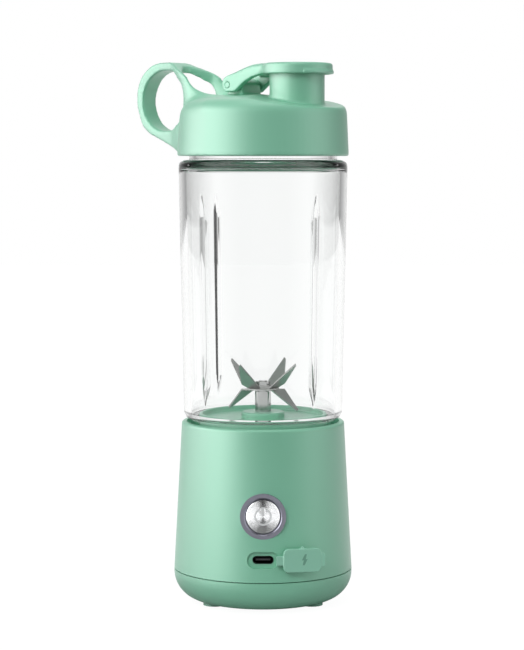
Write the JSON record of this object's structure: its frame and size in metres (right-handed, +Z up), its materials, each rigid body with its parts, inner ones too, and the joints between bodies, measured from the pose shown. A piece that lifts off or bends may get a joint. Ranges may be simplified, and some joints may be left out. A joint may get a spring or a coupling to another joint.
{
  "type": "portable blender",
  "caption": "Cordless blender: round motor base with power button and charging port, clear screw-on jar with a folded cutter, screw lid with spout, flip cap and finger loop.",
  "frame": {"origin": "on the blender's axis, at the level its rubber feet stand on", "axes": "+Z up along the axis towards the lid; -Y to the front, where the power button is; +X to the right as seen from the front"},
  "size_m": [0.0988, 0.0918, 0.2425],
  "materials": {
    "mint_plastic": "satin moulded plastic, mint green",
    "mint_rubber": "soft matte, mint green",
    "clear_plastic": "clear, polished",
    "silicone": "translucent white, soft",
    "black_rubber": "matte black",
    "bronze_bush": "sintered",
    "polished_steel": "polished",
    "blade_steel": "ground and brushed",
    "screw_steel": "zinc plated",
    "zinc_steel": "zinc plated sheet",
    "brass": "stamped",
    "magnet": "pressed ferrite, dark grey",
    "armature": "lacquered laminations and windings",
    "black_plastic": "moulded black",
    "board_green": "green solder mask",
    "cell_sleeve": "blue shrink sleeve",
    "port_steel": "plain nickel",
    "bezel_grey": "grey, slightly violet",
    "button_metal": "spun, satin"
  },
  "bodies": {
    "base": {"base_housing": "mint_plastic", "bottom_cap": "mint_plastic", "rubber_feet": "mint_rubber", "cap_screws": "screw_steel", "blade_seat": "mint_plastic", "seat_screws": "screw_steel", "bearing_sleeve": "polished_steel", "shaft_bush": "bronze_bush", "shaft_seal": "black_rubber", "motor_can": "zinc_steel", "motor_magnets": "magnet", "motor_end_cap": "black_plastic", "motor_terminals": "brass", "motor_bracket": "zinc_steel", "bracket_screws": "screw_steel", "motor_screws": "screw_steel", "battery_cells": "cell_sleeve", "battery_cradle": "black_plastic", "control_board": "board_green", "tact_switch": "black_plastic", "usb_shell": "port_steel", "usb_tongue": "black_plastic", "button_bezel": "bezel_grey"},
    "rotor": {"motor_shaft": "polished_steel", "motor_armature": "armature", "drive_coupling": "black_plastic", "blade_shaft": "polished_steel", "lower_blade": "blade_steel", "hub_washer": "blade_steel", "upper_blade_a": "blade_steel", "upper_blade_b": "blade_steel", "blade_nut": "polished_steel"},
    "button": {"power_button": "button_metal"},
    "cover": {"port_cover": "mint_rubber"},
    "jar_carrier": {"jar_seal": "silicone"},
    "beaker": {"jar": "clear_plastic"},
    "lid_carrier": {"lid_gasket": "silicone"},
    "lid": {"lid_shell": "mint_plastic", "hinge_pin": "mint_plastic"},
    "cap": {"spout_cap": "mint_plastic", "spout_plug": "silicone"}
  },
  "joints": [
    {"name": "blade_spin", "type": "hinge", "parent": "base", "child": "rotor", "pos_m": [0, 0, 0.0679], "axis": [0, 0, 1], "continuous": true},
    {"name": "button_press", "type": "slide", "parent": "base", "child": "button", "axis": [0, 1, 0], "range_m": [0, 0.0008], "stiffness_N_per_m": 1200, "springref_m": -0.0005},
    {"name": "cover_swing", "type": "hinge", "parent": "base", "child": "cover", "pos_m": [0.0075, -0.03858, 0.025], "axis": [0.1908, -0.9816, 0], "range_deg": [0, 180]},
    {"name": "jar_lift", "type": "slide", "parent": "base", "child": "jar_carrier", "axis": [0, 0, 1], "range_m": [0, 0.0041]},
    {"name": "jar_turn", "type": "hinge", "parent": "jar_carrier", "child": "beaker", "pos_m": [0, 0, 0.073], "axis": [0, 0, 1], "range_deg": [0, 360]},
    {"name": "lid_lift", "type": "slide", "parent": "beaker", "child": "lid_carrier", "axis": [0, 0, 1], "range_m": [0, 0.0041]},
    {"name": "lid_turn", "type": "hinge", "parent": "lid_carrier", "child": "lid", "pos_m": [0, 0, 0.2165], "axis": [0, 0, 1], "range_deg": [0, 360]},
    {"name": "cap_flip", "type": "hinge", "parent": "lid", "child": "cap", "pos_m": [-0.00958, 0.00804, 0.2312], "axis": [-0.6428, -0.766, 0], "range_deg": [0, 130]}
  ],
  "couplings": [
    {"joint": "jar_lift", "follows": "jar_turn", "m_per_rad": 0.00063662},
    {"joint": "lid_lift", "follows": "lid_turn", "m_per_rad": 0.00063662}
  ]
}
